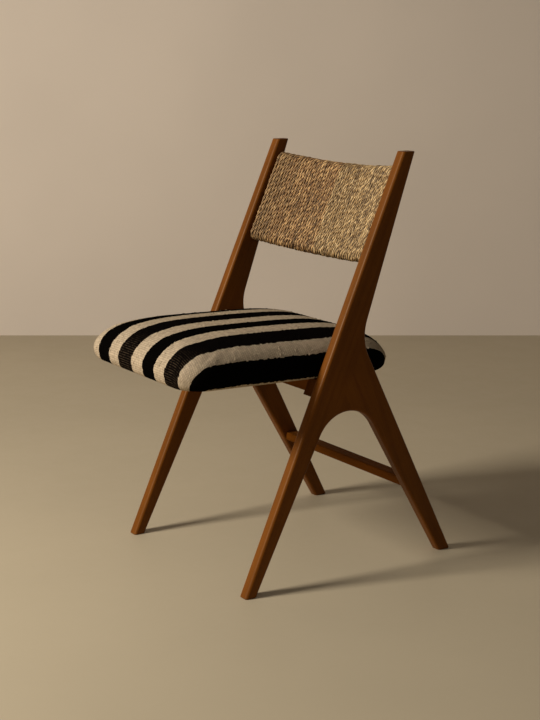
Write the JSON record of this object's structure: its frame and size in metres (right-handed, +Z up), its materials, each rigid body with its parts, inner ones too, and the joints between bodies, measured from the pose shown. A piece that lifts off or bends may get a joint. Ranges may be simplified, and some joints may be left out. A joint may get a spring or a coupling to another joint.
{
  "type": "dining chair",
  "caption": "Armless dining chair with compass-shaped wooden side frames, a bowed back wound with twisted cord and a thick crowned seat covered in striped woven cloth.",
  "frame": {"origin": "on the floor at the bottom centre of the whole chair", "axes": "+Z up, the chair faces -Y, +X towards the sitter's left"},
  "size_m": [0.451, 0.6102, 0.82],
  "materials": {
    "frame_wood": "satin oiled, warm reddish brown",
    "dowel_wood": "raw beech",
    "plywood": "raw plywood",
    "screw_steel": "plain zinc-plated steel",
    "foam": "upholstery foam",
    "striped_cloth": "coarse handwoven cloth with cream and black stripes",
    "dust_cloth": "thin black lining",
    "brown_cord": "twisted grass cord, browner length",
    "straw_cord": "twisted grass cord, straw-coloured length"
  },
  "bodies": {
    "root": {"left_upright": "frame_wood", "right_upright": "frame_wood", "left_rear_leg": "frame_wood", "right_rear_leg": "frame_wood", "left_frame_dowels": "dowel_wood", "right_frame_dowels": "dowel_wood", "left_seat_bearer": "frame_wood", "right_seat_bearer": "frame_wood", "lower_stretcher": "frame_wood", "front_seat_rail": "frame_wood", "rear_seat_rail": "frame_wood", "seat_rail_dowels": "dowel_wood", "bearer_screws": "screw_steel", "seat_screws": "screw_steel", "seat_board": "plywood", "seat_foam": "foam", "seat_cover": "striped_cloth", "seat_dust_cover": "dust_cloth", "back_top_rail": "frame_wood", "back_bottom_rail": "frame_wood", "back_cord_right": "brown_cord", "back_cord_left": "straw_cord"}
  },
  "joints": []
}
